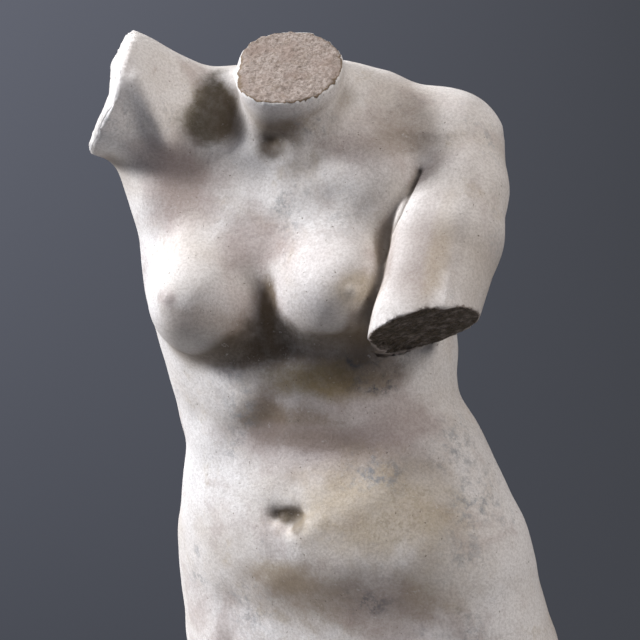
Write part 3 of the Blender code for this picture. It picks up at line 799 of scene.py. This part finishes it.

# Stains of the patina, with painted shade and light where noted: centre and radii on the
# pattern, colour, strength, and how soft the edge is
STAINS_AND_PAINTED_SHADING = {
    # Olive patina with painted shade in the hollow beside the neck, which the raised shoulder shades
    "hollow by the neck": ((-117, -42, 708), (22, 70, 33), OLIVE, 0.95, 0.25),
    # Painted shadow under the neck and in the notch above the breastbone
    "under the neck": ((-42, -64, 694), (22, 30, 20), UMBER, 0.75, 0.5),
    "notch": ((-50, -62, 678), (13, 24, 10), PAINTED_SHADE_BLACK, 0.8, 0.5),
    "right of the chest": ((-135, -74, 634), (34, 40, 42), MAUVE, 1.0, 0.5),
    "shade right of the chest": ((-138, -74, 640), (24, 40, 26), EARTH, 0.3, 0.6),
    "upper chest": ((-152, -72, 660), (26, 40, 26), MAUVE, 0.5, 0.5),
    "middle of the chest": ((-60, -84, 592), (34, 40, 26), MAUVE, 0.75, 0.5),
    "left of the chest": ((10, -64, 625), (34, 40, 34), BLUE_GREY, 0.2, 0.5),
    "left of the upper chest": ((36, -34, 684), (40, 40, 30), MAUVE, 0.4, 0.5),
    "left shoulder": ((60, -14, 702), (26, 40, 26), EARTH, 0.42, 0.6),
    "shade of the left shoulder": ((52, -26, 684), (30, 40, 13), EARTH, 0.4, 0.5),
    "right breast": ((-72, -112, 533), (42, 50, 28), MAUVE, 0.6, 0.5),
    "crown of the right breast": ((-118, -112, 572), (26, 60, 44), CREAM, 0.8, 0.6),
    "crown of the left breast": ((4, -112, 566), (46, 60, 38), MAUVE, 0.5, 0.6),
    # Painted shadow and shade round the feet of the breasts, between them and under them
    "round the right breast's foot": ((-80, -114, 512), (46, 50, 24), EARTH, 0.6, 0.5),
    "outside of the right breast's foot": ((-104, -118, 521), (28, 50, 20), PAINTED_SHADE_BROWN, 0.85, 0.5),
    "low on the right breast": ((-96, -118, 506), (34, 50, 13), UMBER, 0.8, 0.5),
    "under the right breast": ((-70, -98, 496), (48, 60, 15), PAINTED_SHADE_BLACK, 0.9, 0.45),
    "between the breasts": ((-42, -91, 535), (8, 30, 32), UMBER, 0.95, 0.45),
    "foot of the gap between the breasts": ((-38, -92, 507), (27, 30, 24), PAINTED_SHADE_BLACK, 0.9, 0.4),
    "under the left breast": ((22, -92, 503), (54, 50, 19), PAINTED_SHADE_BLACK, 0.85, 0.4),
    "low side of the left breast": ((40, -100, 528), (30, 50, 18), UMBER, 0.55, 0.5),
    "midriff": ((30, -88, 446), (74, 50, 42), MAUVE, 0.62, 0.6),
    "yellow below the breastbone": ((8, -90, 473), (46, 40, 17), YELLOW, 0.95, 0.55),
    "shade by the left ribs": ((50, -74, 480), (34, 40, 16), UMBER, 0.6, 0.6),
    # Painted shade beside the white line and along the waist fold, over its brown patina
    "beside the white line": ((-50, -92, 436), (26, 34, 22), EARTH, 0.8, 0.5),
    "above the waist": ((-14, -90, 430), (44, 40, 18), EARTH, 0.75, 0.6),
    "waist": ((-2, -88, 415), (86, 40, 14), MAUVE, 0.8, 0.6),
    "shade of the waist": ((4, -89, 416), (50, 40, 9), EARTH, 0.6, 0.6),
    "left end of the waist": ((76, -66, 430), (34, 40, 15), MAUVE, 0.85, 0.6),
    "flesh above the belly": ((20, -92, 400), (90, 40, 22), MAUVE, 0.5, 0.6),
    # Painted shade in the navel
    "navel": ((-18, -96, 349), (17, 26, 8), PAINTED_SHADE_BLACK, 1.0, 0.4),
    "foot of the navel": ((-9, -98, 342), (7, 26, 8), PAINTED_SHADE_BLACK, 0.9, 0.4),
    "middle of the belly": ((60, -94, 360), (66, 50, 44), OCHRE, 0.7, 0.5),
    "right of the low belly": ((-22, -103, 290), (28, 40, 16), OCHRE, 0.8, 0.5),
    # Painted shade where the belly turns under, with brown patina
    "low belly": ((18, -106, 275), (82, 50, 32), EARTH, 0.8, 0.55),
    "low belly, red": ((80, -102, 268), (50, 50, 34), MAUVE, 0.5, 0.5),
    "left of the low belly": ((106, -103, 298), (20, 40, 30), EARTH, 0.4, 0.5),
    "left hip": ((130, -94, 318), (34, 50, 50), OCHRE, 0.35, 0.5),
    "left nipple": (NIPPLES[1], (22, 30, 16), OCHRE, 0.7, 0.5),
    "right nipple": (NIPPLES[0], (12, 20, 9), MAUVE, 0.9, 0.35),
    "front of the left arm": ((98, -92, 582), (30, 60, 70), DUN, 0.85, 0.5),
    "inner edge of the left arm": ((84, -84, 588), (14, 40, 44), DUN, 0.6, 0.5),
    "streak on the left arm": ((116, -86, 590), (10, 50, 50), OCHRE, 0.45, 0.6),
    "foot of the left arm": ((116, -108, 546), (40, 50, 14), EARTH, 0.45, 0.6),
    "back of the left arm": ((148, -60, 580), (16, 50, 60), EARTH, 0.3, 0.5),
    # Painted light: chalk on the stump's lower front, which faces away from the lamps
    "front of the stump": ((-188, -86, 692), (28, 40, 38), CHALK, 0.9, 0.5),
    "shade of the stump": ((-160, -76, 668), (30, 40, 16), MAUVE, 0.6, 0.5),
}

EDGE_WANDER = 1.4  # how far the edges of the stains and the painted shade wander
FLECK_EDGE = 0.8

# Heights of the small relief in the materials, in metres
SKIN_FLECK = 0.0007
SKIN_GRAIN = 0.0002
SKIN_PIT = 0.0005
BREAK_GRAIN = 0.0014
PLINTH_GRAIN = 0.0003
PLINTH_VEIN = 0.0006
PLINTH_PIT = 0.0006
PLASTER_GRAIN = 0.0003

# Flecks of dark crust: centre and radii on the pattern, colour, and strength
FLECKS = {
    "below the left breast": ((52, -74, 470), (18, 30, 9), BLUE_BLACK, 1.0),
    "on the left ribs": ((38, -77, 490), (16, 30, 6), BLUE_BLACK, 0.9),
    "beside the white line": ((-70, -88, 440), (16, 30, 22), BLUE_GREY, 0.7),
    "above the belly": ((56, -91, 392), (24, 40, 16), BLUE_GREY, 0.9),
    "at the waist": ((122, -44, 413), (18, 40, 18), BLUE_GREY, 0.8),
    "on the left hip": ((145, -60, 370), (16, 40, 26), BLUE_GREY, 0.8),
    "on the left thigh": ((144, -86, 325), (16, 40, 20), BLUE_GREY, 0.7),
    "on the low belly": ((54, -103, 275), (22, 40, 12), BLUE_BLACK, 0.8),
    "right of the low belly": ((-70, -80, 250), (30, 40, 24), BLUE_GREY, 0.6),
    "on the stump": ((-196, -96, 712), (14, 30, 30), BLUE_GREY, 0.9),
    "under the neck": ((-14, -62, 702), (16, 30, 12), BLUE_GREY, 0.8),
    "on the chest": ((12, -62, 622), (20, 30, 22), BLUE_GREY, 0.3),
}


def cast_stone():
    """Pale cast stone under a mottled patina with painted shade and light laid over it, bare where
    limbs are broken off.
    """
    stone = Shading("cast_stone")
    veil = stone.noise(0.045, 8.0, 0.74, 0.3, offset=7.7)
    grain = stone.noise(0.0024, 3.0, 0.75, offset=1.3)
    fleck = stone.noise(0.0075, 6.0, 0.78, offset=5.9)
    hole = stone.step(stone.noise(0.0030, 2.0, 0.5, offset=9.4), 0.71, 0.76)

    colour = mottled(stone, veil, fleck)
    colour = stained_and_painted_shading(stone, colour, fleck)
    colour = dirtied_and_shaded(stone, colour, grain, fleck, hole)
    colour, broken = broken_colours(stone, colour)

    roughness = stone.step(veil, 0.3, 0.75, 0.50, 0.72)
    roughness = stone.math("MAXIMUM", roughness, stone.product(broken, 0.9))
    skin = stone.math("ADD", stone.product(fleck, SKIN_FLECK), stone.product(grain, SKIN_GRAIN))
    skin = stone.math("SUBTRACT", skin, stone.product(hole, SKIN_PIT))
    grit = stone.product(stone.math("ADD", fleck, grain), stone.product(broken, BREAK_GRAIN))
    return stone.finish(colour, roughness, stone.math("ADD", skin, grit))


def mottled(stone, veil, fleck):
    """The clouded ground of the patina, darker on undersides with dirt and painted shade."""
    cloud = stone.noise(0.15, 6.0, 0.62, 0.5)
    drift = stone.noise(0.075, 7.0, 0.70, 0.4, offset=3.1)
    crust = stone.noise(0.055, 7.0, 0.74, offset=12.0)
    colour = stone.mix(stone.step(cloud, 0.36, 0.62), CREAM, CHALK)
    colour = stone.mix(stone.step(drift, 0.50, 0.68, 0.0, 0.62), colour, MAUVE)
    colour = stone.mix(stone.step(veil, 0.54, 0.72, 0.0, 0.50), colour, OCHRE)
    specks = stone.product(stone.step(crust, 0.54, 0.66), stone.step(fleck, 0.45, 0.60))
    colour = stone.mix(stone.product(specks, 0.62), colour, BLUE_GREY)
    # Undersides get earth brown: dirt, and shade painted as if lit from above
    return stone.mix(stone.step(stone.stored("underside"), 0.05, 0.75, 0.0, 0.6), colour, EARTH)


def stained_and_painted_shading(stone, colour, fleck):
    """The colour with the stains and the painted shade and light laid over it, then the flecks of dark
    crust.
    """
    wander = stone.math("SUBTRACT", stone.noise(0.03, 6.0, 0.62), 0.5)
    wander = stone.product(wander, EDGE_WANDER)
    patchy = stone.step(fleck, 0.30, 0.68, 0.78, 1.08)
    for centre, radii, tint, strength, edge in STAINS_AND_PAINTED_SHADING.values():
        share = stone.product(stone.spot(centre, radii, edge, wander), strength)
        colour = stone.mix(stone.product(share, patchy, clamp=True), colour, tint)
    crusted = stone.step(stone.noise(0.011, 7.0, 0.78, offset=15.2), 0.46, 0.64)
    for centre, radii, tint, strength in FLECKS.values():
        share = stone.product(stone.spot(centre, radii, FLECK_EDGE, wander), strength)
        colour = stone.mix(stone.product(share, crusted), colour, tint)
    return colour


def dirtied_and_shaded(stone, colour, grain, fleck, hole):
    """The colour with dirt and painted shade in hollows, dirt in pits, ridges paler from wear and a
    painted highlight, specks rubbed pale, and painted shade along the arm's crease.
    """
    cavity = stone.stored("cavity")
    # Hollows: umber for dirt and painted shade
    colour = stone.mix(stone.step(cavity, 0.15, 1.5, 0.0, 0.75), colour, UMBER)
    # Ridges: chalk for wear and a painted highlight
    colour = stone.mix(stone.step(cavity, -0.2, -1.2, 0.0, 0.5), colour, CHALK)
    colour = stone.mix(stone.step(grain, 0.36, 0.62, 0.26, 0.0), colour, GRIT_DARK)
    colour = stone.mix(stone.step(fleck, 0.58, 0.72, 0.0, 0.40), colour, CHALK)
    colour = stone.mix(stone.product(hole, 0.65), colour, UMBER)
    # Painted shade along the arm's crease
    return stone.mix(stone.product(stone.stored("crease"), 0.85), colour, PAINTED_SHADE_BLACK)


def broken_colours(stone, colour):
    """The colour with the breaks' own laid over it, and where they are. The left arm's down-facing
    break is near black with painted shade.
    """
    grit = stone.noise(0.0032, 5.0, 0.8, offset=21.0)
    blotch = stone.noise(0.024, 5.0, 0.65, offset=23.0)
    ragged = stone.math("SUBTRACT", stone.noise(0.010, 5.0, 0.7, offset=25.0), 0.5)
    ragged = stone.product(ragged, 0.9)
    neck = stone.mix(stone.step(grit, 0.36, 0.60, 0.15, 1.0), GRIT_DARK, GRIT_PALE)
    neck = stone.mix(stone.step(blotch, 0.42, 0.66, 0.0, 0.6), neck, GRIT_BROWN)
    # The left arm's break: brown grit, darkened near black with painted shade
    arm = stone.mix(stone.step(grit, 0.44, 0.70), CORE_IN_PAINTED_SHADE, CORE_BROWN)
    shoulder = stone.mix(stone.step(grit, 0.3, 0.6), CORE_GREY, CORE_WHITE)
    everywhere = None
    for name, own, rim in (
        ("neck", neck, GRIT_RIM),
        ("left_arm", arm, GRIT_PALE),
        ("right_arm", shoulder, CHALK),
    ):
        depth = stone.math("ADD", stone.stored("broken_" + name), ragged)
        own = stone.mix(stone.step(depth, 0.6, 1.05, 0.85, 0.0), own, rim)
        share = stone.step(depth, 0.30, 0.45)
        colour = stone.mix(share, colour, own)
        everywhere = share if everywhere is None else stone.math("MAXIMUM", everywhere, share)
    return colour, everywhere


def plinth_stone():
    """Grey-beige limestone with veins, pits and paler, rubbed edges."""
    stone = Shading("plinth_stone")
    cloud = stone.noise(0.11, 6.0, 0.6, 0.6, offset=2.0)
    vein = stone.noise(0.05, 8.0, 0.7, 1.4, offset=6.0)
    grain = stone.noise(0.003, 4.0, 0.75, offset=4.0)
    hole = stone.step(stone.noise(0.0065, 3.0, 0.6, offset=8.0), 0.68, 0.74)
    colour = stone.mix(stone.step(cloud, 0.36, 0.64), *LIMESTONE)
    bands = stone.math("ABSOLUTE", stone.math("SUBTRACT", vein, 0.5))
    colour = stone.mix(stone.step(bands, 0.0, 0.035, 0.55, 0.0), colour, LIMESTONE_VEIN)
    colour = stone.mix(stone.step(grain, 0.38, 0.62, 0.30, 0.0), colour, GRIT_DARK)
    colour = stone.mix(stone.step(stone.stored("worn"), 0.2, 0.8, 0.0, 0.65), colour, LIMESTONE_WORN)
    colour = stone.mix(stone.product(hole, 0.6), colour, UMBER)
    height = stone.math("ADD", stone.product(grain, PLINTH_GRAIN), stone.product(vein, PLINTH_VEIN))
    height = stone.math("SUBTRACT", height, stone.product(hole, PLINTH_PIT))
    return stone.finish(colour, stone.step(cloud, 0.3, 0.7, 0.62, 0.8), height)


# The stage


def add_light(name, azimuth, elevation, distance, size, power, colour):
    """A soft square light, aimed at the middle of the torso."""
    lamp = bpy.data.lights.new(name, "AREA")
    lamp.shape = "SQUARE"
    lamp.size = size
    lamp.energy = power
    lamp.color = colour
    light = bpy.data.objects.new(name, lamp)
    bpy.context.scene.collection.objects.link(light)
    aim(light, VIEW_AZIMUTH + azimuth, elevation, distance, LIT_POINT)


def aim(obj, azimuth, elevation, distance, target):
    """Places a light or camera round its target and turns it to face it."""
    azimuth, elevation = math.radians(azimuth), math.radians(elevation)
    away_from = Vector(
        (
            math.sin(azimuth) * math.cos(elevation),
            -math.cos(azimuth) * math.cos(elevation),
            math.sin(elevation),
        )
    )
    obj.location = Vector(target) + away_from * distance
    obj.rotation_euler = (-away_from).to_track_quat("-Z", "Y").to_euler()


VIEW_AZIMUTH = 20.0
VIEW_ELEVATION = 10.0
VIEW_DISTANCE = 2.3
VIEW_HALF_WIDTH = 0.2976  # what half the picture spans at that distance
VIEW_SIDE = -0.025  # of the pattern's axis
VIEW_HEIGHT = 0.513  # above the thigh cut
LIT_POINT = (0.0, 0.0, 0.55)
FLOOR_RADIUS = 0.72
SURROUND_SPAN = 0.16  # how far to each side of straight ahead the surround changes
SURROUND_DROP = -0.32  # how far below the horizon it is darkest

# Azimuth from the camera's own, elevation, distance, size, power and colour of each light
LIGHTS = {
    "key": (-95.0, 29.0, 4.0, 0.8, 282.0, (0.965, 0.975, 1.0)),
    "fill": (56.0, 37.0, 3.2, 0.8, 56.0, (1.0, 0.945, 0.90)),
    "top": (-5.0, 76.0, 2.3, 0.8, 10.0, (1.0, 0.97, 0.94)),
    "back": (180.0, 40.0, 2.4, 1.0, 9.0, (0.98, 0.99, 1.0)),
}


def make_camera():
    camera = bpy.data.cameras.new("camera")
    camera.sensor_width = 36.0
    camera.lens = camera.sensor_width / (2 * VIEW_HALF_WIDTH / VIEW_DISTANCE)
    eye = bpy.data.objects.new("camera", camera)
    bpy.context.scene.collection.objects.link(eye)
    across = math.radians(VIEW_AZIMUTH)
    target = Vector(TORSO_PLACE) + Vector(
        (VIEW_SIDE * math.cos(across), VIEW_SIDE * math.sin(across), VIEW_HEIGHT)
    )
    aim(eye, VIEW_AZIMUTH, VIEW_ELEVATION, VIEW_DISTANCE, target)
    bpy.context.scene.camera = eye


def make_stage():
    """A pale round floor, a slate-grey surround and soft lights from above."""
    disc = bmesh.new()
    bmesh.ops.create_circle(disc, cap_ends=True, segments=96, radius=FLOOR_RADIUS)
    mesh = bpy.data.meshes.new("floor")
    disc.to_mesh(mesh)
    disc.free()
    floor = bpy.data.objects.new("floor", mesh)
    bpy.context.scene.collection.objects.link(floor)
    mesh.materials.append(pale_floor())

    make_surround()
    bpy.context.scene.view_settings.view_transform = "Standard"
    for name, settings in LIGHTS.items():
        add_light(name, *settings)


def pale_floor():
    """Smooth pale plaster, very slightly mottled."""
    plaster = Shading("pale_floor")
    cloud = plaster.noise(0.22, 4.0, 0.5)
    grain = plaster.noise(0.002, 3.0, 0.6, offset=2.0)
    colour = plaster.mix(plaster.step(cloud, 0.35, 0.65), *PLASTER)
    return plaster.finish(colour, plaster.step(cloud, 0.3, 0.7, 0.75, 0.85), grain, PLASTER_GRAIN)


def make_surround():
    """Slate grey all round, lighter towards the camera's left and darker below."""
    world = bpy.data.worlds.new("surround")
    world.use_nodes = True
    tree = world.node_tree
    across = math.radians(VIEW_AZIMUTH)
    to_the_right = (math.cos(across), math.sin(across), 0.0)
    rise = share_along(tree, (0.0, 0.0, 1.0), SURROUND_DROP, 0.0)
    lit = mixed_shades(tree, rise, SLATE_LOW, SLATE_LIT)
    turn = share_along(tree, to_the_right, -SURROUND_SPAN, SURROUND_SPAN)
    whole = mixed_shades(tree, turn, lit, SLATE_DARK)
    tree.links.new(whole, tree.nodes["Background"].inputs["Color"])
    bpy.context.scene.world = world


def share_along(tree, axis, low, high):
    """0 where the direction's reach along an axis is low, and 1 where it is high."""
    direction = tree.nodes.new("ShaderNodeTexCoord").outputs["Generated"]
    along = tree.nodes.new("ShaderNodeVectorMath")
    along.operation = "DOT_PRODUCT"
    tree.links.new(direction, along.inputs[0])
    along.inputs[1].default_value = axis
    share = tree.nodes.new("ShaderNodeMapRange")
    tree.links.new(along.outputs["Value"], share.inputs["Value"])
    share.inputs["From Min"].default_value = low
    share.inputs["From Max"].default_value = high
    return share.outputs["Result"]


def mixed_shades(tree, share, first, second):
    """The first shade, with that share of the second. The first may be a socket."""
    mixed = tree.nodes.new("ShaderNodeMix")
    mixed.data_type = "RGBA"
    tree.links.new(share, mixed.inputs[0])
    if isinstance(first, bpy.types.NodeSocket):
        tree.links.new(first, mixed.inputs[6])
    else:
        mixed.inputs[6].default_value = colour_of(first)
    mixed.inputs[7].default_value = colour_of(second)
    return mixed.outputs[2]


carved_torso()
worn_plinth()
make_camera()
make_stage()
